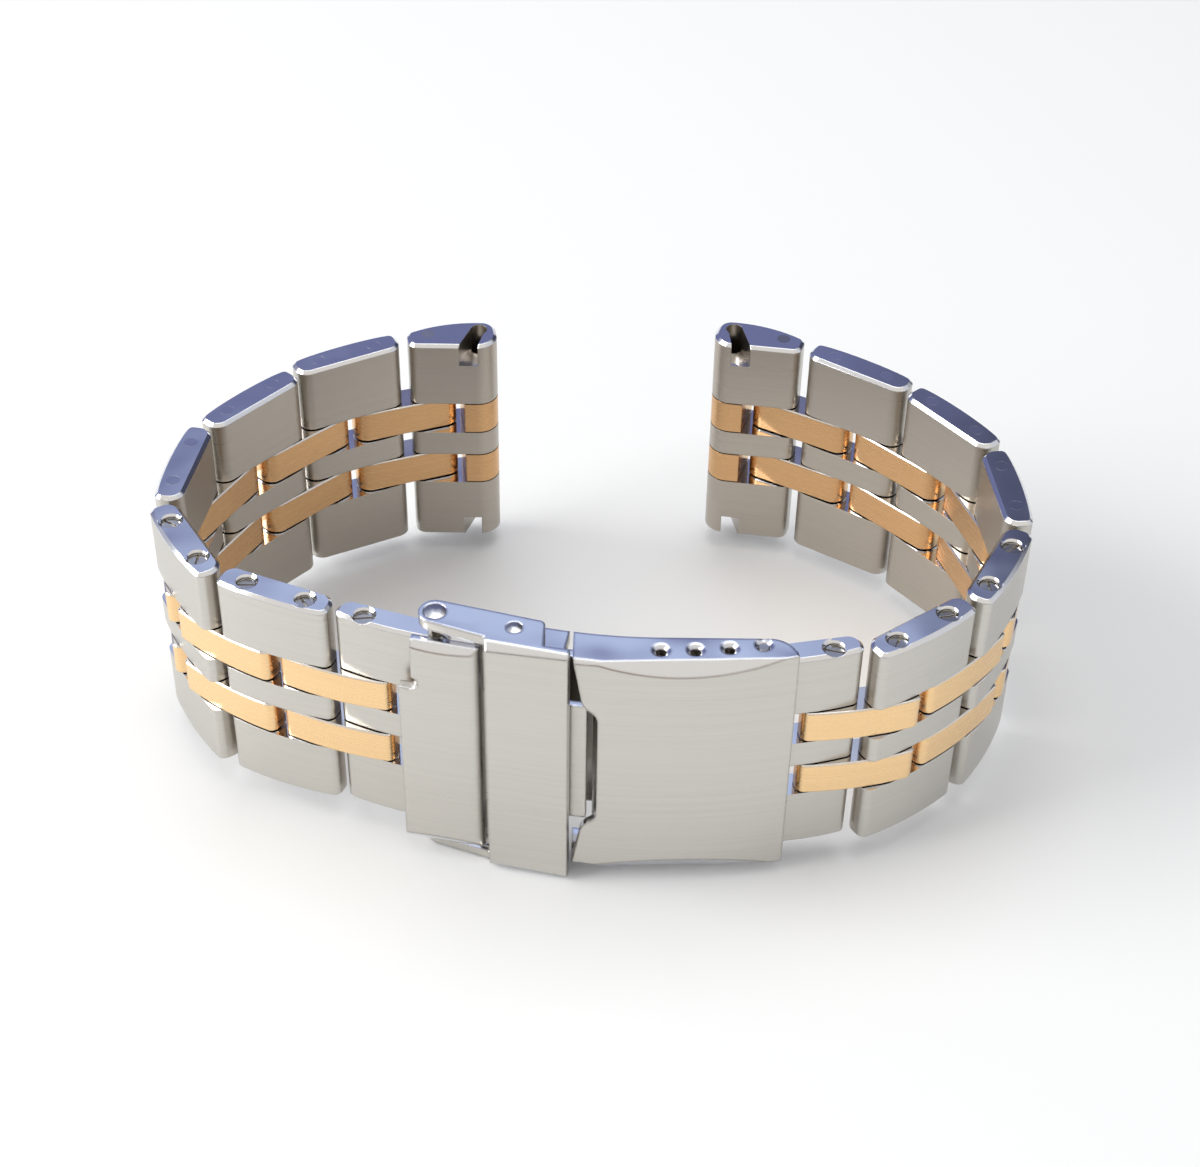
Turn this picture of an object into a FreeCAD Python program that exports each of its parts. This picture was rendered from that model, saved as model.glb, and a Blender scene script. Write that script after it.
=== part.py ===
"""Two-tone five row watch bracelet, closed, standing on its edge, in millimetres.

All hinge pins stand upright. Every link is drawn lying along +X with its inner face towards -Y,
then turned to the bearing it has in the photographed pose.
"""
import FreeCAD, Part
import math
import os

V = FreeCAD.Vector

# Strap
LUG_WIDTH = 22.0
LAST_LINK_WIDTH = 20.6
OUTER_SEAM = 4.5
INNER_SEAM = 1.3
ROW_GAP = 0.1
STEEL_PITCH = 5.2
GOLD_PITCH = 5.1
LEFT_LAST_PITCH = 6.1
RIGHT_LAST_PITCH = 5.7
LINK_END = 2.3
SHORT_END = 1.05
INNER_FACE = 1.35
CROWN = 1.35
LAST_CROWN = 0.95
CROWN_RISE = 0.4
INNER_ROUND = 1.2
OUTER_ROUND = 0.7
SIDE_BEVEL = 0.3
GOLD_BEVEL = 0.12

# Pins and screws
PIN_R = 0.6
RUNNING = 0.03
HEAD_R = 0.76
HEAD_SINK = 0.4
HEAD_HEIGHT = 0.7
SINK_R = 1.05
SINK_DEPTH = 0.3
SLOT_WIDTH = 0.24
SLOT_DEPTH = 0.25

# End links
BORE_OFFSET = 4.6
BORE_R = 0.75
INSERT_START = 2.85
TIE_PIN_R = 0.45
TIE_PIN = (3.5, -1.25)
NOTCH_DEPTH = 2.2

# Bearings of the links from the clasp to the watch end, in degrees
LEFT_BEARINGS = [162, 161, 158, 146, 122, 96, 81, 61, 47.5, 44, 27, 20, 10.5]
RIGHT_BEARINGS = [11, 12, 36, 45, 62.5, 80, 96.5, 109, 130, 136, 147.5, 151.5, 162]

# Clasp: angles are measured about its centre, depths from its front
MIDDLE = 12.62
CLASP_CENTRE = (5.22, 21.38)
CLASP_R = 44.5
PIVOT = (-12.02, -18.41)
BLOCK_BEARING = -11.8
SPRING_BAR_ANGLE = 10.9
SPRING_BAR_DEPTH = 1.8
SPRING_TUBE_R = 0.55
SPRING_TIP_R = 0.38
COIL_R = 0.28
WIRE_R = 0.06
HOLE_STEP = 3.55
HOLE_COUNT = 4
COVER_HALF = 11.5
COVER_THICK = 0.65
COVER_DEPTH = 3.2
WALL_INNER = 10.45
COVER_LEFT = -8.5
COVER_RIGHT = 14.0
COVER_FACET = (1.3, 0.7)
EDGE_FACET = (0.4, 0.3)
HOLE_SINK_R = 0.75
HOLE_SINK = 0.25
TUBE_HALF = 10.3
TIP_START = 8.4
BLADE_HALF = 8.0
KNUCKLE_HALF = 5.2
SIDE_PLAY = 0.1
HINGE_PIN_R = 0.4
KNUCKLE_R = 0.85
FOLD = (8.0, 4.05)
COVER_HINGE = (-5.6, 2.6)
MIDDLE_BLADE = (3.2, 3.9)
INNER_BLADE = (4.1, 4.9)
STUD_ANGLE = -2.0
STUD_R = 0.7
STUD_HEIGHT = 1.05
BLADE_LEFT = -20.0
LEFT_FILLER = 3.2
RIGHT_FILLER = 2.9
CATCH_HALF = 12.5
EAR_THICK = 0.9
CATCH_HEAD_R = 0.85
CATCH_FACET = (0.5, 0.5)
BAR_START = 4.66
BAR_END = 11.1
BAR_FRONT = (2.9, 2.76)
BAR_THICK = 0.9
EAR_END = 9.0
EAR_WAIST = 1.95
RIVET_R = 0.62
RIVET_PLACE = (6.4, 0.42)
DOME = 0.12
PLATE_HALF = 11.1
PLATE_FRONT = 2.32
PLATE_BACK = 1.42
PLATE_LEFT = -2.6
PLATE_RIGHT = 4.0
PLATE_CROWN = 0.08
PLATE_CURL = 0.9
PLATE_FACET = (0.8, 0.45)
STEP_FORWARD = -1.5
STEP_HEIGHT = 6.0
RELIEF_R = 0.55
WEB_HALF = 9.4
WEB_THICK = 0.95
WEB_DEPTH = 2.2
RAIL_LEFT = -18.6
RAIL_RIGHT = -9.5
RAIL_FRONT = 0.5
TAB_RIGHT = -7.1
TAB_BACK = 1.1
TAB_HALF = 6.2


def polar(angle, depth):
    """Point on the clasp's curve."""
    a = math.radians(angle)
    r = CLASP_R - depth
    return (CLASP_CENTRE[0] + r * math.sin(a), CLASP_CENTRE[1] - r * math.cos(a))


def block(forward, out):
    """Point forward of the catch pivot along the end block, and out from it."""
    a = math.radians(BLOCK_BEARING)
    return (
        PIVOT[0] + forward * math.cos(a) + out * math.sin(a),
        PIVOT[1] + forward * math.sin(a) - out * math.cos(a),
    )


def corners(path):
    return [p[-1] if isinstance(p[0], tuple) else p for p in path]


def slab(path, low, high):
    """Upright prism on a closed path. A pair of points is an arc through the first to the second."""
    points = corners(path)
    edges = []
    for i, step in enumerate(path):
        start = V(*points[i - 1], low)
        end = V(*points[i], low)
        if isinstance(step[0], tuple):
            edges.append(Part.Arc(start, V(*step[0], low), end).toShape())
        else:
            edges.append(Part.makeLine(start, end))
    return Part.Face(Part.Wire(edges)).extrude(V(0, 0, high - low))


def rounded(path, radii, low, high):
    """The same prism with its upright edges rounded."""
    shape = slab(path, low, high)
    for (x, y), r in zip(corners(path), radii):
        here = [e for e in shape.Edges if len(e.Vertexes) > 1
                and all(math.hypot(v.X - x, v.Y - y) < 1e-6 for v in e.Vertexes)]
        if r:
            shape = shape.makeFillet(r, here)
    return shape


def rod(x, y, r, low, high):
    return Part.makeCylinder(r, high - low, V(x, y, low))


def bevel(shape, size, test):
    """Bevel the edges whose every vertex passes the test."""
    edges = [e for e in shape.Edges if len(e.Vertexes) > 1 and all(test(v.Point) for v in e.Vertexes)]
    return shape.makeChamfer(size, edges)


def flipped(shape):
    return shape.mirror(V(0, 0, 0), V(0, 0, 1))


def facet(shape, at, bearing, half, drop, cut):
    """Cut one flat facet along the upper front edge and one along the lower."""
    a = math.radians(bearing)
    ahead = V(math.cos(a), math.sin(a), 0)
    out = V(math.sin(a), -math.cos(a), 0)
    base = V(*at, half - drop) - ahead * 30
    rise = V(0, 0, drop) - out * cut
    points = [base - rise * 3, base + rise * 3, base + rise * 3 + out * 9, base - rise * 3 + out * 9]
    cutter = Part.Face(Part.makePolygon(points + points[:1])).extrude(ahead * 60)
    return shape.cut(cutter).cut(flipped(cutter))


def both(shape):
    return [shape, flipped(shape)]


def fused(shapes):
    return shapes[0].fuse(shapes[1:]).removeSplitter()


def ring(a0, a1, d0, d1, low, high):
    """Curved strip between two angles and two depths."""
    mid = (a0 + a1) / 2
    path = [polar(a0, d0), (polar(mid, d0), polar(a1, d0)), polar(a1, d1), (polar(mid, d1), polar(a0, d1))]
    return slab(path, low, high)


def link_bar(left, right, crown, low, high):
    """Side outline of a link: flat towards the wrist, crowned outside, both ends rounded."""
    shoulder = crown - CROWN_RISE
    path = [
        (left, -INNER_FACE),
        (right, -INNER_FACE),
        (right, shoulder),
        (((left + right) / 2, crown), (left, shoulder)),
    ]
    end_round = min(INNER_ROUND, -left)
    return rounded(path, (end_round, INNER_ROUND, OUTER_ROUND, OUTER_ROUND), low, high)


def end_bar(low, high):
    """Side outline of an end link: it thickens from its hinge pin to the spring bar bore."""
    path = [(-1.9, -1.45), (6.1, -2.9), (6.1, 0.95), ((2.4, 1.5), (-1.9, 0.6))]
    return rounded(path, (0.9, 1.8, 1.3, 0.7), low, high)


def outer_row(left, right, crown, half, slope):
    """Upper steel piece, its side face sloped so that the strap tapers."""
    shape = link_bar(left, right, crown, OUTER_SEAM + ROW_GAP / 2, LUG_WIDTH)
    cutter = Part.makeBox(40, 20, 20, V(-20, -10, 0))
    cutter.rotate(V(0, 0, 0), V(0, 1, 0), -math.degrees(math.atan(slope)))
    cutter.translate(V(0, 0, half))
    return bevel(shape.cut(cutter), SIDE_BEVEL, lambda p: p.z > half - 1.0)


def screw_seat(x, top):
    """Space for a screw head and its countersink, down from the side face."""
    seat = rod(x, 0, HEAD_R + 0.04, top - HEAD_SINK - HEAD_HEIGHT, top + 1)
    return seat.fuse(Part.makeCone(HEAD_R + 0.04, SINK_R, SINK_DEPTH, V(x, 0, top - SINK_DEPTH)))


def screw(x, top, turn):
    """Slotted screw through the whole link."""
    head_top = top - HEAD_SINK
    shape = rod(x, 0, PIN_R, -top, head_top - HEAD_HEIGHT)
    shape = shape.fuse(rod(x, 0, HEAD_R, head_top - HEAD_HEIGHT, head_top))
    slot = Part.makeBox(3, SLOT_WIDTH, SLOT_DEPTH + 1, V(-1.5, -SLOT_WIDTH / 2, 0))
    slot.rotate(V(0, 0, 0), V(0, 0, 1), turn)
    slot.translate(V(x, 0, head_top - SLOT_DEPTH))
    return shape.cut(slot)


def steel_link(number, half, slope, pitch, clasp_bore):
    """Three steel pieces side by side, and the pins or screws that hold them."""
    left = -LINK_END if number < 6 else -SHORT_END
    crown = CROWN if number < 6 else LAST_CROWN
    upper = outer_row(left, pitch + LINK_END, crown, half, slope)
    centre_half = INNER_SEAM - ROW_GAP / 2
    centre = link_bar(left, pitch + LINK_END, crown, -centre_half, centre_half)
    pieces = [upper, centre, flipped(upper)]
    pins = []
    for x in (0, pitch):
        own_pin = x or number < 6
        bore = rod(x, 0, PIN_R if own_pin else clasp_bore, -LUG_WIDTH, LUG_WIDTH)
        pieces = [p.cut(bore) for p in pieces]
        top = half + slope * x
        if own_pin and number > 3:
            pieces[0] = pieces[0].cut(screw_seat(x, top))
            pins.append(screw(x, top, 25 if x else -35))
        elif own_pin:
            pins.append(rod(x, 0, PIN_R, -top, top))
    return pieces, pins


def gold_row(left, right, crown):
    low = INNER_SEAM + ROW_GAP / 2
    high = OUTER_SEAM - ROW_GAP / 2
    shape = link_bar(left, right, crown, low, high)
    return bevel(shape, GOLD_BEVEL, lambda p: min(p.z - low, high - p.z) < 0.01)


def gold_pair():
    """Upper and lower gold link, running on the pins of two steel links."""
    shape = gold_row(-LINK_END, GOLD_PITCH + LINK_END, CROWN)
    for x in (0, GOLD_PITCH):
        shape = shape.cut(rod(x, 0, PIN_R + RUNNING, 0, OUTER_SEAM))
    return both(shape)


def filler(right, bore):
    """Half gold link beside the last steel link."""
    return gold_row(-SHORT_END, right, LAST_CROWN).cut(rod(0, 0, bore, 0, OUTER_SEAM))


def end_link():
    """Steel pieces, gold inserts and pins of the link that meets the watch."""
    half = LUG_WIDTH / 2
    centre_half = INNER_SEAM - ROW_GAP / 2
    low = OUTER_SEAM + ROW_GAP / 2
    tie_half = half - NOTCH_DEPTH - 0.6
    bore = rod(BORE_OFFSET, 0, BORE_R, -half - 1, half + 1)
    hinge = rod(0, 0, PIN_R, -half, half)
    tie = rod(*TIE_PIN, TIE_PIN_R, -tie_half, tie_half)
    # A tapered notch runs from the bore to the inner face, for a spring bar tool
    notch = slab([(5.0, -0.5), (3.75, -3.4), (1.75, -3.4), (4.0, 0.45)], half - NOTCH_DEPTH, half + 1)
    upper = bevel(end_bar(low, half), SIDE_BEVEL, lambda p: p.z > half - 0.01).cut(notch)
    steel = [upper, end_bar(-centre_half, centre_half), flipped(upper)]
    insert = end_bar(centre_half + ROW_GAP, low - ROW_GAP)
    insert = insert.common(Part.makeBox(9, 9, half, V(INSERT_START, -4.5, 0)))
    cuts = bore.fuse([hinge, tie])
    return [s.cut(cuts) for s in steel], [s.cut(cuts) for s in both(insert)], [hinge, tie]


def placed(shapes, side, bearing, at):
    """Turn link pieces to their bearing. On the right the outline is mirrored first."""
    out = []
    for shape in shapes:
        copy = shape.mirror(V(0, 0, 0), V(0, 1, 0)) if side == "right" else shape.copy()
        copy.rotate(V(0, 0, 0), V(0, 0, 1), bearing)
        copy.translate(V(*at, 0))
        out.append(copy)
    return out


def chain(side, start, bearings, last_pitch, clasp_bore):
    """Nodes of one half of the strap, from the clasp to the watch end."""
    nodes = {}
    x, y = start
    total = 6 * GOLD_PITCH + 5 * STEEL_PITCH + last_pitch
    slope = (LUG_WIDTH - LAST_LINK_WIDTH) / 2 / total
    travelled = 0.0
    for step, bearing in enumerate(bearings[:-1]):
        number = 6 - step // 2
        if step % 2:
            pitch = GOLD_PITCH
            nodes["%s_gold_%d" % (side, number)] = placed(gold_pair(), side, bearing, (x, y))
        else:
            pitch = last_pitch if number == 6 else STEEL_PITCH
            half = LAST_LINK_WIDTH / 2 + slope * travelled
            pieces, pins = steel_link(number, half, slope, pitch, clasp_bore)
            nodes["%s_link_%d" % (side, number)] = placed(pieces, side, bearing, (x, y))
            nodes["%s_pins_%d" % (side, number)] = placed(pins, side, bearing, (x, y))
        travelled += pitch
        x += pitch * math.cos(math.radians(bearing))
        y += pitch * math.sin(math.radians(bearing))
    for name, shapes in zip(("link", "inserts", "pins"), end_link()):
        nodes["%s_end_%s" % (side, name)] = placed(shapes, side, bearings[-1], (x, y))
    return nodes


def end_block():
    """Plate over the last left link, its left side cut back beside the outer row."""
    path = [
        block(PLATE_LEFT, PLATE_BACK),
        block(PLATE_LEFT, PLATE_FRONT - 0.1),
        (block(0.5, PLATE_FRONT + PLATE_CROWN), block(PLATE_RIGHT - PLATE_CURL, PLATE_FRONT)),
        (block(PLATE_RIGHT - 0.25, PLATE_FRONT - 0.25), block(PLATE_RIGHT, PLATE_BACK)),
    ]
    shape = slab(path, -PLATE_HALF, PLATE_HALF)
    shape = facet(shape, block(0, PLATE_FRONT + 0.1), BLOCK_BEARING, PLATE_HALF, *PLATE_FACET)
    # The step and its round relief are cut from the back of the link to the open air in front
    front = PLATE_FRONT + 1.7
    outline = [(PLATE_LEFT - 1, front), (STEP_FORWARD, front), (STEP_FORWARD, 0), (PLATE_LEFT - 1, 0)]
    shape = shape.cut(slab([block(*p) for p in outline], STEP_HEIGHT, PLATE_HALF + 1))
    foot = V(*block(STEP_FORWARD, 0), STEP_HEIGHT + 0.75)
    ahead = V(*block(STEP_FORWARD, front), foot.z) - foot
    return shape.cut(Part.makeCylinder(RELIEF_R, 6, foot, ahead))


def latch_frame():
    """Web behind the end block, two side rails under the catch, and the tab in the finger recess."""
    start = PLATE_RIGHT - WEB_THICK
    web_line = [(start, PLATE_BACK), (PLATE_RIGHT, PLATE_BACK)]
    web_line += [(PLATE_RIGHT, -WEB_DEPTH), (start, -WEB_DEPTH)]
    web = slab([block(*p) for p in web_line], -WEB_HALF, WEB_HALF)
    post_line = [(3.4, 1.2), (4.4, 1.2), (4.4, -1.0), (3.4, -1.0)]
    post = slab([block(*p) for p in post_line], 0, COVER_HALF)
    rail = ring(RAIL_LEFT, RAIL_RIGHT, RAIL_FRONT, COVER_DEPTH, WALL_INNER, COVER_HALF)
    tab = ring(RAIL_LEFT, TAB_RIGHT, RAIL_FRONT, TAB_BACK, -TAB_HALF, TAB_HALF)
    return fused([web, tab] + both(post) + both(rail))


def blades():
    """Inner and middle leaf of the folding clasp, the stud between them and the fold hinge pin."""
    k = KNUCKLE_HALF
    wide = BLADE_HALF
    clear = KNUCKLE_R + SIDE_PLAY
    x, y = polar(*FOLD)
    cover_x, cover_y = polar(*COVER_HINGE)
    inner = ring(BLADE_LEFT, FOLD[0], *INNER_BLADE, -wide, wide)
    inner = inner.cut(rod(x, y, clear, -k - SIDE_PLAY, k + SIDE_PLAY))
    inner = fused([inner] + both(rod(x, y, KNUCKLE_R, k + SIDE_PLAY, wide)))
    inner = inner.cut(rod(x, y, HINGE_PIN_R, -wide, wide))
    middle = ring(COVER_HINGE[0], FOLD[0], *MIDDLE_BLADE, -wide, wide)
    for end in both(rod(x, y, clear, k, wide)):
        middle = middle.cut(end)
    middle = fused([middle, rod(x, y, KNUCKLE_R, -k, k), rod(cover_x, cover_y, KNUCKLE_R, -wide, wide)])
    for hx, hy in ((x, y), (cover_x, cover_y)):
        middle = middle.cut(rod(hx, hy, HINGE_PIN_R + RUNNING, -wide, wide))
    foot = V(*polar(STUD_ANGLE, INNER_BLADE[0] + 0.3), 0)
    axis = V(*polar(STUD_ANGLE, 0), 0) - foot
    middle = middle.cut(Part.makeCylinder(STUD_R + 0.25, 3, foot, axis))
    stud = Part.makeCylinder(STUD_R, STUD_HEIGHT, foot, axis)
    inner = inner.cut(stud)
    return inner, middle, stud, rod(x, y, HINGE_PIN_R, -wide, wide)


def recess_cutter(left):
    """Shape of the cover's left edge: slanted, then an S-curve into the finger recess."""
    start, bend, deep = left + 0.7, left + 1.3, left + 2.0
    points = [V(left - 3, 0, 13), V(left + 0.02, 0, 13), V(left + 0.02, 0, COVER_HALF), V(start, 0, 7.3)]
    upper = [Part.makeLine(points[i], points[i + 1]) for i in range(3)]
    upper.append(Part.Arc(points[-1], V(start + 0.2, 0, 6.7), V(bend, 0, 6.25)).toShape())
    upper.append(Part.Arc(V(bend, 0, 6.25), V(deep - 0.2, 0, 5.75), V(deep, 0, 5.0)).toShape())
    lower = [flipped(e) for e in upper]
    sides = [Part.makeLine(V(deep, 0, 5.0), V(deep, 0, -5.0)),
             Part.makeLine(V(left - 3, 0, -13), V(left - 3, 0, 13))]
    wire = Part.Wire(Part.__sortEdges__(upper + lower + sides))
    cutter = Part.Face(wire).extrude(V(0, 3, 0))
    cutter.translate(V(0, CLASP_CENTRE[1] - CLASP_R - 1, 0))
    return cutter


def cover():
    """Curved front plate with two side walls, hinge lugs, adjustment holes and a finger recess."""
    mid = (COVER_LEFT + COVER_RIGHT) / 2
    plate = ring(COVER_LEFT, COVER_RIGHT, 0, COVER_THICK, -COVER_HALF, COVER_HALF)
    wall = slab([
        polar(COVER_LEFT, 0),
        (polar(mid, 0), polar(COVER_RIGHT - 0.1, 0)),
        (polar(COVER_RIGHT - 0.6, 1.6), polar(COVER_RIGHT - 2.0, 2.35)),
        polar(-1.0, COVER_DEPTH),
        (polar(-5.0, COVER_DEPTH), polar(COVER_LEFT - 0.6, COVER_DEPTH)),
    ], WALL_INNER, COVER_HALF)
    hx, hy = polar(*COVER_HINGE)
    low = BLADE_HALF + SIDE_PLAY
    lug = rod(hx, hy, KNUCKLE_R, low, WALL_INNER)
    lug = lug.fuse(ring(COVER_HINGE[0] - 1.1, COVER_HINGE[0] + 1.1, COVER_THICK / 2, COVER_HINGE[1],
                        low, WALL_INNER))
    shape = fused([plate] + both(wall) + both(lug))
    for i in range(HOLE_COUNT):
        x, y = polar(SPRING_BAR_ANGLE - i * HOLE_STEP, SPRING_BAR_DEPTH)
        r = SPRING_TIP_R + RUNNING
        hole = rod(x, y, r, WALL_INNER - 1, COVER_HALF + 1)
        hole = hole.fuse(Part.makeCone(r, HOLE_SINK_R, HOLE_SINK, V(x, y, COVER_HALF - HOLE_SINK)))
        shape = shape.cut(hole).cut(flipped(hole))
    shape = shape.cut(rod(hx, hy, HINGE_PIN_R, -WALL_INNER, WALL_INNER))
    shape = shape.cut(recess_cutter(polar(COVER_LEFT, 0)[0]))
    shape = facet(shape, polar(mid, 0), mid, COVER_HALF, *COVER_FACET)
    return facet(shape, polar(COVER_LEFT, 0), COVER_LEFT, COVER_HALF, *EDGE_FACET)


def safety_catch():
    """Bar across the clasp's front with an ear at each end, turning on the pivot pin."""
    left, right = block(BAR_START, BAR_FRONT[0]), block(BAR_END, BAR_FRONT[1])
    back = [block(BAR_START, BAR_FRONT[0] - BAR_THICK), block(BAR_END, BAR_FRONT[1] - BAR_THICK)]
    bar = slab([back[0], left, right, back[1]], -CATCH_HALF, CATCH_HALF)
    # The ear's outline goes round the pivot, along the bar, down its squared end and back inside
    ear = slab([
        (block(-1.3, -0.05), block(0, 1.3)),
        block(4.4, EAR_WAIST),
        left,
        block(EAR_END - 0.6, 2.82),
        block(EAR_END, 2.4),
        block(EAR_END, 1.6),
        block(EAR_END - 0.35, -0.2),
        (block(EAR_END - 0.5, -0.65), block(EAR_END - 1.0, -0.82)),
        block(0.15, -1.3),
    ], CATCH_HALF - EAR_THICK, CATCH_HALF)
    shape = fused([bar] + both(ear))
    shape = facet(shape, block(8, 2.83), BLOCK_BEARING - 1.2, CATCH_HALF, *CATCH_FACET)
    shape = shape.cut(rod(*PIVOT, CATCH_HEAD_R + RUNNING, -CATCH_HALF - 1, CATCH_HALF + 1))
    rivet = rod(*block(*RIVET_PLACE), RIVET_R, CATCH_HALF - EAR_THICK, CATCH_HALF)
    for r in both(rivet):
        shape = shape.cut(r)
    return shape, both(domed(rivet, *block(*RIVET_PLACE), RIVET_R))


def domed(shape, x, y, r):
    """The rod with a shallow dome on its upper end."""
    top = shape.BoundBox.ZMax
    ball_r = (r * r + DOME * DOME) / (2 * DOME)
    ball = Part.makeSphere(ball_r, V(x, y, top + DOME - ball_r))
    return shape.fuse(ball.common(rod(x, y, r, top, top + 1)))


def pivot_pin():
    """Pin through the last left link, with riveted heads in the ears of the catch."""
    x, y = PIVOT
    inside = CATCH_HALF - EAR_THICK
    shaft = rod(x, y, PIN_R, -inside, inside)
    head = domed(rod(x, y, CATCH_HEAD_R, inside, CATCH_HALF), x, y, CATCH_HEAD_R)
    return fused([shaft] + both(head))


def spring_bar_parts():
    """Tube, two sliding tips and the coil that pushes them apart."""
    x, y = polar(SPRING_BAR_ANGLE, SPRING_BAR_DEPTH)
    tube = rod(x, y, SPRING_TUBE_R, -TUBE_HALF, TUBE_HALF)
    tube = tube.cut(rod(x, y, SPRING_TIP_R, -TUBE_HALF, TUBE_HALF))
    tip = rod(x, y, SPRING_TIP_R, TIP_START, COVER_HALF - 0.2)
    turns = 16
    length = 2 * (TIP_START - WIRE_R) - 0.1
    helix = Part.makeHelix(length / turns, length, COIL_R)
    start = Part.Wire(Part.makeCircle(WIRE_R, V(COIL_R, 0, 0), V(0, 1, 0)))
    coil = Part.Wire(helix).makePipeShell([start], True, True)
    coil.translate(V(x, y, -length / 2))
    return tube, both(tip), coil


def main():
    nodes = {}
    nodes.update(chain("left", PIVOT, LEFT_BEARINGS, LEFT_LAST_PITCH, PIN_R + RUNNING))
    spring_bar = polar(SPRING_BAR_ANGLE, SPRING_BAR_DEPTH)
    nodes.update(chain("right", spring_bar, RIGHT_BEARINGS, RIGHT_LAST_PITCH, SPRING_TUBE_R + RUNNING))
    hinge = polar(*COVER_HINGE)
    catch, rivets = safety_catch()
    tube, tips, coil = spring_bar_parts()
    inner, middle, stud, fold_pin = blades()
    nodes["end_block"] = [end_block()]
    nodes["latch_frame"] = [latch_frame()]
    nodes["left_fillers"] = placed(both(filler(LEFT_FILLER, PIN_R)), "left", 180 + BLOCK_BEARING, PIVOT)
    nodes["catch_pivot_pin"] = [pivot_pin()]
    nodes["safety_catch"] = [catch]
    nodes["catch_rivets"] = rivets
    nodes["inner_blade"] = [inner]
    nodes["latch_stud"] = [stud]
    nodes["fold_hinge_pin"] = [fold_pin]
    nodes["middle_blade"] = [middle]
    nodes["cover_hinge_pin"] = [rod(*hinge, HINGE_PIN_R, -WALL_INNER, WALL_INNER)]
    nodes["clasp_cover"] = [cover()]
    nodes["spring_bar_tube"] = [tube]
    nodes["spring_bar_tips"] = tips
    nodes["spring_bar_coil"] = [coil]
    fillers = both(filler(RIGHT_FILLER, SPRING_TUBE_R + RUNNING))
    nodes["right_fillers"] = placed(fillers, "right", RIGHT_BEARINGS[0], spring_bar)
    os.makedirs("parts", exist_ok=True)
    for name, shapes in nodes.items():
        group = Part.makeCompound(shapes)
        group.translate(V(0, 0, MIDDLE))
        group.exportStep("parts/%s.step" % name)


main()
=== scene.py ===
"""Looks, floor, light and camera for the five row steel and gold watch bracelet."""

import math

import bpy
from mathutils import Matrix, Vector

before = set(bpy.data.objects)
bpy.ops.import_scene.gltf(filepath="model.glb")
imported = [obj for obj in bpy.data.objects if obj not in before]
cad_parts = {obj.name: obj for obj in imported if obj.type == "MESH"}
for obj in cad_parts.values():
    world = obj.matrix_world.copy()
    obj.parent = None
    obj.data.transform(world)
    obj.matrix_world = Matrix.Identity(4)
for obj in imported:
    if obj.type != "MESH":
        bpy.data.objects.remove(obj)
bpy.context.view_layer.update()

# Camera, in metres, degrees and, for the lens and its sensor, millimetres
CAMERA_PLACE = (0.00032, -0.15372, 0.14652)
CAMERA_PITCH = 41.165
CAMERA_ROLL = 0.92
CAMERA_LENS = 70.857
CAMERA_SENSOR = 36
CAMERA_NEAR, CAMERA_FAR = 0.01, 20
# The picture's width and how far its middle is from the lens's axis, in pixels
PICTURE_WIDTH = 1200
AXIS_SHIFT = 4.3

# Colours are linear
SATIN = (0.62, 0.60, 0.56)
# Darker satin for the wrist side: painted shade, for the shade inside the strap's loop
SATIN_PAINTED_SHADE = (0.50, 0.455, 0.40)
POLISHED = (0.78, 0.79, 0.83)
GOLD = (0.95, 0.66, 0.36)
# Darker gold for the wrist side: painted shade, for the shade inside the strap's loop
GOLD_PAINTED_SHADE = (0.72, 0.43, 0.21)
GOLD_SIDE = (0.80, 0.76, 0.72)
PIN = (0.62, 0.60, 0.57)
# Dark brown for the foot of each bevel on stamped parts: a painted reflection of a dark band
BEVEL_PAINTED_REFLECTION = (0.17, 0.11, 0.085)

# Lengths on the metals, in metres: soft edges, and the depth of brush lines and ripples
EDGE_ROUND = 0.00014
STAMPED_ROUND = 0.0003
BRUSH_DEPTH = 0.00002
RIPPLE_DEPTH = 0.00025

# Noise per metre. Brush lines run along the strap, so they change fast only in height
GRAIN = (70, 70, 15000)
STREAK = (25, 25, 4200)
CLOUD = 260.0
RIPPLE = 150.0

# Shares of the two noises in the brush lines, and what the lines do
GRAIN_SHARE, STREAK_SHARE = 0.6, 0.4
LINE_SHADE = 0.93
LINE_ROUGH = 0.16
LINE_BUMP = 0.10
SMEAR_ROUGH = 0.05
ANISOTROPY = 0.7
# Nearly upright, so that the brushing direction also exists on level faces
BRUSH_AXIS = (0.02, 0.03, 1.0)

# From where to where a look sets in, by the size of the normal's Z
POLISH_TILT = (0.08, 0.22)
# The band of tilts at each bevel's foot that gets the painted dark reflection
PAINTED_REFLECTION_START_TILT = (0.08, 0.16)
PAINTED_REFLECTION_END_TILT = (0.42, 0.30)
LEVEL_TILT = (0.90, 0.97)
# The same for the wrist side, by how far the normal points away from the middle of the strap
WRIST_FACING = (0.05, -0.35)
# The same for brush lines and smears, by their noise
LINE_RANGE = (0.30, 0.70)
SMEAR_RANGE = (0.45, 0.75)

FLOOR = (0.86, 0.865, 0.86)
FLOOR_CLOUD = 9.0
FLOOR_SHADE = 0.985
FLOOR_ROUGH = 0.42
FLOOR_GLOSS = 0.35
FLOOR_HALF = 2.0

# The room's light on the strap, and the room's parts as its metals mirror them
ROOM_STRENGTH = 0.90
ROOM_LIGHT = (0.64, 0.645, 0.66)
ROOM_SIDES = (0.80, 0.81, 0.84)
ROOM_WALL = (0.95, 0.90, 0.82)
ROOM_BAND = (0.07, 0.035, 0.02)
SKY_LOW = (0.20, 0.22, 0.41)
SKY_HIGH = (0.62, 0.72, 1.0)
SKY_RIGHT = (0.075, 0.08, 0.12)
SKY_CLOUD = 4.5
SKY_CLOUD_DEPTH = 0.16

# From where to where each part of the room sets in, by a coordinate of its direction
BACK_Y = (0.15, 0.55)
BACK_Z = (0.95, 0.80)
SKY_Z = (0.60, 0.72)
RIGHT_X = (0.09, 0.22)
FRONT_Y = (-0.1, -0.45)
BAND_Z = (0.20, 0.10)

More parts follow.
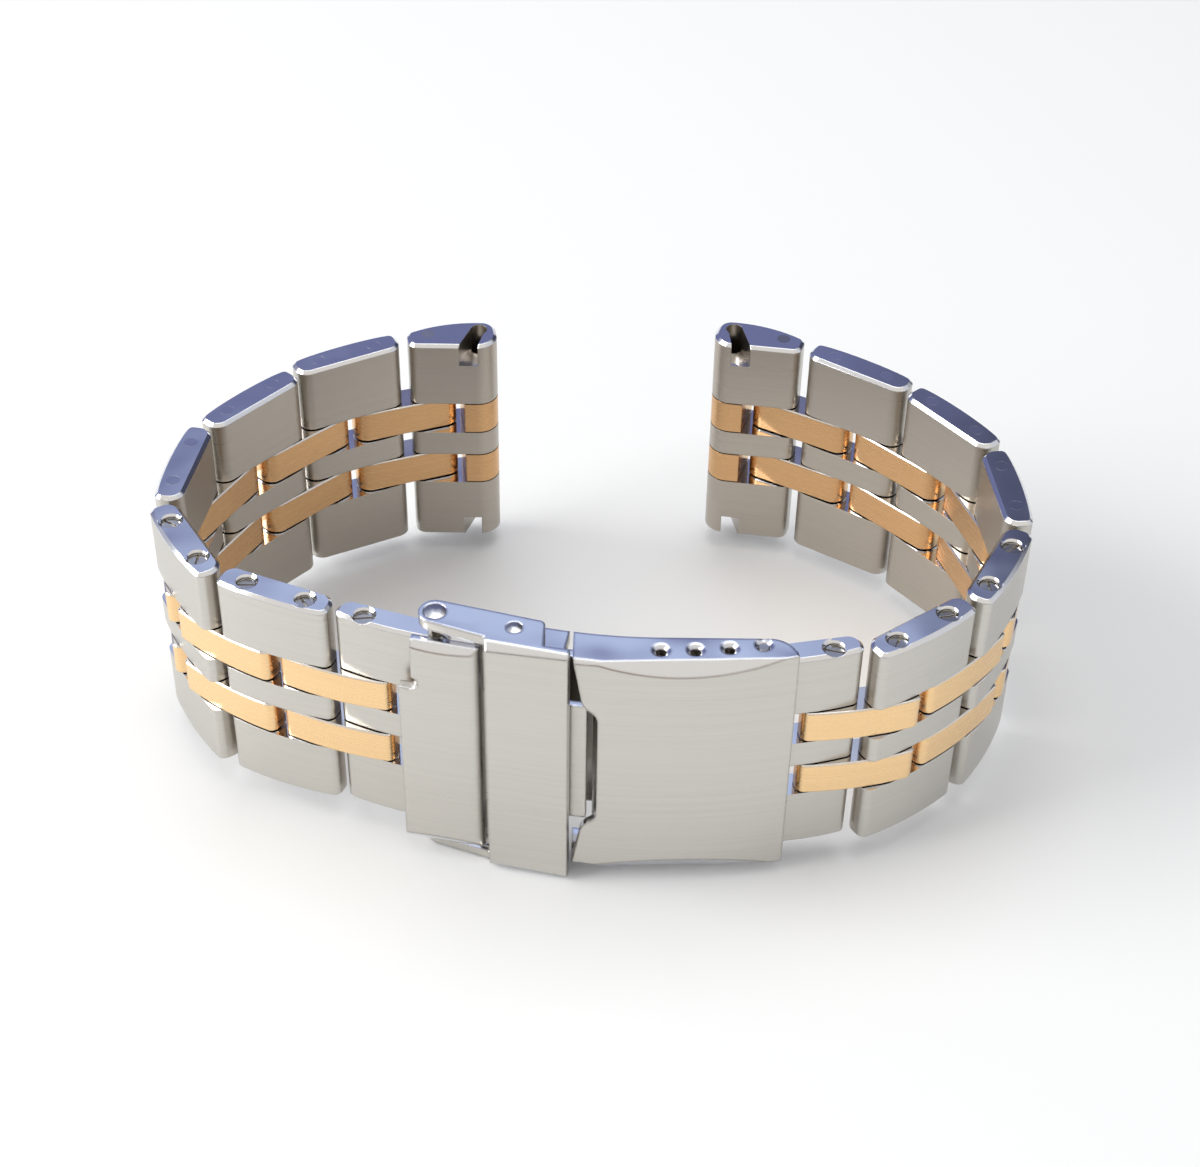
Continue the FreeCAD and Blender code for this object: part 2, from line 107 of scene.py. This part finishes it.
# Name, place, target, size, watts and colour
LAMPS = (
    ("window", (-0.60, -0.08, 0.34), (0, 0, 0.01), (0.45, 0.50), 4.2, (1.0, 0.99, 0.97)),
    ("overhead", (0.05, 0.15, 0.7), (0, 0, 0), (0.5, 0.5), 1.6, (0.97, 0.98, 1.0)),
)

CLASP_NODES = (
    "clasp_cover",
    "latch_frame",
    "safety_catch",
    "end_block",
    "inner_blade",
    "middle_blade",
)
GOLD_NODES = [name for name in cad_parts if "_gold_" in name or name.endswith("_inserts")]
GOLD_NODES += ["left_fillers", "right_fillers"]
PIN_NODES = [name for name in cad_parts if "_pin" in name or "_rivets" in name]
PIN_NODES += ["spring_bar_tips", "spring_bar_coil", "latch_stud"]
# These pins end level with the links' sides and look as they do
FLUSH_PINS = ["%s_pins_%d" % (side, number) for side in ("left", "right") for number in (1, 2, 3)]


class Tree:
    """A node tree that is written from inputs to outputs."""

    # The sockets of a mix node for each kind of data: A, B and the result
    MIX_SOCKETS = {"RGBA": (6, 7, 2), "VECTOR": (4, 5, 1)}

    def __init__(self, tree):
        self.tree = tree

    def add(self, kind, values=None, **settings):
        """A new node. A value that is a socket is linked, any other is set."""
        node = self.tree.nodes.new(kind)
        for name, value in settings.items():
            setattr(node, name, value)
        for key, value in (values or {}).items():
            socket = node.inputs[key]
            if isinstance(value, bpy.types.NodeSocket):
                self.tree.links.new(value, socket)
            else:
                socket.default_value = value
        return node

    def maths(self, operation, a, b=0.0, c=0.0):
        return self.add("ShaderNodeMath", {0: a, 1: b, 2: c}, operation=operation).outputs[0]

    def ramp(self, value, low, high):
        """Smooth step of a value, from 0 at low to 1 at high. Low may be the greater."""
        values = {"Value": value, "From Min": low, "From Max": high}
        node = self.add("ShaderNodeMapRange", values, interpolation_type="SMOOTHSTEP")
        return node.outputs["Result"]

    def mix(self, factor, a, b, kind="RGBA"):
        """Mix of two colours or two vectors. A colour may be three numbers."""
        first, second, result = self.MIX_SOCKETS[kind]
        values = {"Factor": factor}
        for key, value in ((first, a), (second, b)):
            values[key] = value if isinstance(value, bpy.types.NodeSocket) else (*value, 1)
        return self.add("ShaderNodeMix", values, data_type=kind).outputs[result]

    def noise(self, place, scale, detail, stretch=(1, 1, 1), rough=0.5):
        """Noise at a point or in a direction, with its own stretch."""
        vector = self.add("ShaderNodeVectorMath", {0: place, 1: stretch}, operation="MULTIPLY")
        values = {
            "Vector": vector.outputs[0],
            "Scale": scale,
            "Detail": detail,
            "Roughness": rough,
        }
        return self.add("ShaderNodeTexNoise", values).outputs["Fac"]


def new_material(name):
    material = bpy.data.materials.new(name)
    material.use_nodes = True
    material.node_tree.nodes.clear()
    return material, Tree(material.node_tree)


def metal(
    name, outside, shaded_inside, side, satin_rough=0.3, side_rough=0.07, wave=1.0, stamped=False
):
    """Metal that is brushed along the strap on its faces and polished on its sides and bevels.

    A stamped part is polished round its soft edges too, and each bevel has a dark foot, a painted
    reflection.
    """
    material, t = new_material(name)
    coordinates = t.add("ShaderNodeTexCoord")
    place = coordinates.outputs["Object"]
    normal = coordinates.outputs["Normal"]
    # Worn edges: the shading turns over a fraction of a millimetre instead of at a line
    edge = t.add("ShaderNodeBevel", {"Radius": STAMPED_ROUND if stamped else EDGE_ROUND}, samples=4)
    edge = edge.outputs["Normal"]
    height = t.add("ShaderNodeSeparateXYZ", {0: edge if stamped else normal}).outputs["Z"]
    tilt = t.maths("ABSOLUTE", height)
    polished = t.ramp(tilt, *POLISH_TILT)
    brushed = t.maths("SUBTRACT", 1.0, polished)
    if stamped:
        # A narrow band of tilts at each bevel's foot gets a painted dark brown reflection
        painted_reflection = t.maths("MULTIPLY", t.ramp(tilt, *PAINTED_REFLECTION_START_TILT), t.ramp(tilt, *PAINTED_REFLECTION_END_TILT))
        side = t.mix(painted_reflection, side, BEVEL_PAINTED_REFLECTION)

    # The wrist side of a piece is the one whose normal points at the middle of the strap
    flat = t.add("ShaderNodeVectorMath", {0: place, 1: (1, 1, 0)}, operation="MULTIPLY")
    outward = t.add("ShaderNodeVectorMath", {0: flat.outputs[0]}, operation="NORMALIZE")
    facing = t.add(
        "ShaderNodeVectorMath", {0: outward.outputs[0], 1: normal}, operation="DOT_PRODUCT"
    )
    # Faces on the wrist side take the darker colour, which is painted shade
    painted_wrist_shade = t.ramp(facing.outputs["Value"], *WRIST_FACING)

    grain = t.noise(place, 1.0, 2.0, GRAIN, 0.6)
    streak = t.noise(place, 1.0, 2.0, STREAK)
    cloud = t.noise(place, CLOUD, 2.0)
    lines = t.maths("MULTIPLY_ADD", grain, GRAIN_SHARE, t.maths("MULTIPLY", streak, STREAK_SHARE))

    satin = t.mix(painted_wrist_shade, outside, shaded_inside)
    shaded = t.add("ShaderNodeVectorMath", {0: satin, "Scale": LINE_SHADE}, operation="SCALE")
    satin = t.mix(t.ramp(lines, *LINE_RANGE), shaded.outputs[0], satin)
    colour = t.mix(polished, satin, side)
    rough_satin = t.maths("MULTIPLY_ADD", lines, LINE_ROUGH, satin_rough - LINE_ROUGH / 2)
    smear = t.maths("MULTIPLY_ADD", t.ramp(cloud, *SMEAR_RANGE), SMEAR_ROUGH, side_rough)
    rough = t.maths(
        "ADD", t.maths("MULTIPLY", rough_satin, brushed), t.maths("MULTIPLY", smear, polished)
    )

    geometry = t.add("ShaderNodeNewGeometry").outputs["Normal"]
    if not stamped:
        # The flush pin ends leave no ring on a link's polished side
        edge = t.mix(t.ramp(tilt, *LEVEL_TILT), edge, geometry, "VECTOR")
    fine = t.add(
        "ShaderNodeBump",
        {
            "Strength": t.maths("MULTIPLY", brushed, LINE_BUMP),
            "Distance": BRUSH_DEPTH,
            "Height": lines,
            "Normal": edge,
        },
    )
    soft = t.add(
        "ShaderNodeBump",
        {
            "Strength": t.maths("MULTIPLY", polished, wave),
            "Distance": RIPPLE_DEPTH,
            "Height": t.noise(place, RIPPLE, 1.0),
            "Normal": fine.outputs["Normal"],
        },
    )
    along = t.add(
        "ShaderNodeVectorMath", {0: geometry, 1: BRUSH_AXIS}, operation="CROSS_PRODUCT"
    )
    shader = t.add(
        "ShaderNodeBsdfPrincipled",
        {
            "Base Color": colour,
            "Metallic": 1.0,
            "Roughness": rough,
            "Anisotropic": ANISOTROPY,
            "Tangent": along.outputs[0],
            "Normal": soft.outputs["Normal"],
        },
    )
    t.add("ShaderNodeOutputMaterial", {"Surface": shader.outputs["BSDF"]})
    return material


def paint(nodes, material):
    """Give every face of the named nodes this material."""
    for name in nodes:
        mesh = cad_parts[name].data
        if not mesh.materials:
            mesh.materials.append(material)
        for index in range(len(mesh.materials)):
            mesh.materials[index] = material


def make_floor():
    material, t = new_material("floor_pale")
    coordinates = t.add("ShaderNodeTexCoord")
    cloud = t.noise(coordinates.outputs["Object"], FLOOR_CLOUD, 3.0)
    colour = t.mix(cloud, tuple(FLOOR_SHADE * c for c in FLOOR), FLOOR)
    shader = t.add(
        "ShaderNodeBsdfPrincipled",
        {"Base Color": colour, "Roughness": FLOOR_ROUGH, "Specular IOR Level": FLOOR_GLOSS},
    )
    t.add("ShaderNodeOutputMaterial", {"Surface": shader.outputs["BSDF"]})
    mesh = bpy.data.meshes.new("floor")
    signs = ((-1, -1), (1, -1), (1, 1), (-1, 1))
    mesh.from_pydata([(x * FLOOR_HALF, y * FLOOR_HALF, 0) for x, y in signs], [], [(0, 1, 2, 3)])
    mesh.materials.append(material)
    floor = bpy.data.objects.new("floor", mesh)
    bpy.context.scene.collection.objects.link(floor)


def make_world():
    """Pale room that metal mirrors with a blue sky behind the strap and a warm wall in front.

    The sky is dark on its right, and a dark band runs round the foot of the wall.
    """
    world = bpy.data.worlds.new("room")
    bpy.context.scene.world = world
    world.use_nodes = True
    world.node_tree.nodes.clear()
    t = Tree(world.node_tree)
    direction = t.add("ShaderNodeTexCoord").outputs["Generated"]
    parts = t.add("ShaderNodeSeparateXYZ", {0: direction})
    x, y, z = (parts.outputs[axis] for axis in "XYZ")
    back = t.maths("MULTIPLY", t.ramp(y, *BACK_Y), t.ramp(z, *BACK_Z))
    cloud = t.noise(direction, SKY_CLOUD, 1.0)
    lowered = t.maths("SUBTRACT", z, SKY_CLOUD_DEPTH / 2)
    height = t.maths("MULTIPLY_ADD", cloud, SKY_CLOUD_DEPTH, lowered)
    sky = t.mix(t.ramp(height, *SKY_Z), SKY_LOW, SKY_HIGH)
    sky = t.mix(t.ramp(x, *RIGHT_X), sky, SKY_RIGHT)
    front = t.ramp(y, *FRONT_Y)
    band = t.maths("MULTIPLY", front, t.ramp(z, *BAND_Z))
    wall = t.mix(band, ROOM_WALL, ROOM_BAND)
    colour = t.mix(back, t.mix(front, ROOM_SIDES, wall), sky)
    shiny = t.add("ShaderNodeLightPath").outputs["Is Glossy Ray"]
    colour = t.mix(shiny, ROOM_LIGHT, colour)
    background = t.add("ShaderNodeBackground", {"Color": colour, "Strength": ROOM_STRENGTH})
    t.add("ShaderNodeOutputWorld", {"Surface": background.outputs[0]})


def make_light(name, place, target, size, watts, colour):
    light = bpy.data.lights.new(name, "AREA")
    light.shape = "RECTANGLE"
    light.size, light.size_y = size
    light.energy = watts
    light.color = colour
    lamp = bpy.data.objects.new(name, light)
    lamp.location = place
    lamp.rotation_mode = "QUATERNION"
    lamp.rotation_quaternion = (Vector(target) - Vector(place)).to_track_quat("-Z", "Y")
    bpy.context.scene.collection.objects.link(lamp)


def make_camera():
    data = bpy.data.cameras.new("camera")
    data.lens = CAMERA_LENS
    data.sensor_width = CAMERA_SENSOR
    data.shift_x = AXIS_SHIFT / PICTURE_WIDTH
    data.clip_start, data.clip_end = CAMERA_NEAR, CAMERA_FAR
    camera = bpy.data.objects.new("camera", data)
    turn = Matrix.Rotation(math.radians(90 - CAMERA_PITCH), 4, "X")
    roll = Matrix.Rotation(math.radians(CAMERA_ROLL), 4, "Z")
    camera.matrix_world = Matrix.Translation(CAMERA_PLACE) @ turn @ roll
    bpy.context.scene.collection.objects.link(camera)
    bpy.context.scene.camera = camera


steel = metal("steel_brushed", SATIN, SATIN_PAINTED_SHADE, POLISHED, wave=0.35)
clasp_steel = metal("clasp_steel", SATIN, SATIN_PAINTED_SHADE, POLISHED, wave=1.1, stamped=True)
gold = metal("gold_brushed", GOLD, GOLD_PAINTED_SHADE, GOLD_SIDE, satin_rough=0.27, wave=0.35)
pin_steel = metal("pin_steel", PIN, SATIN_PAINTED_SHADE, PIN, satin_rough=0.25, side_rough=0.2)

# A node takes the last material that it is painted with
paint(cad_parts, steel)
paint(CLASP_NODES, clasp_steel)
paint(GOLD_NODES, gold)
paint(PIN_NODES, pin_steel)
paint(FLUSH_PINS, steel)

make_floor()
make_world()
for lamp_values in LAMPS:
    make_light(*lamp_values)
make_camera()
bpy.context.scene.view_settings.view_transform = "Standard"
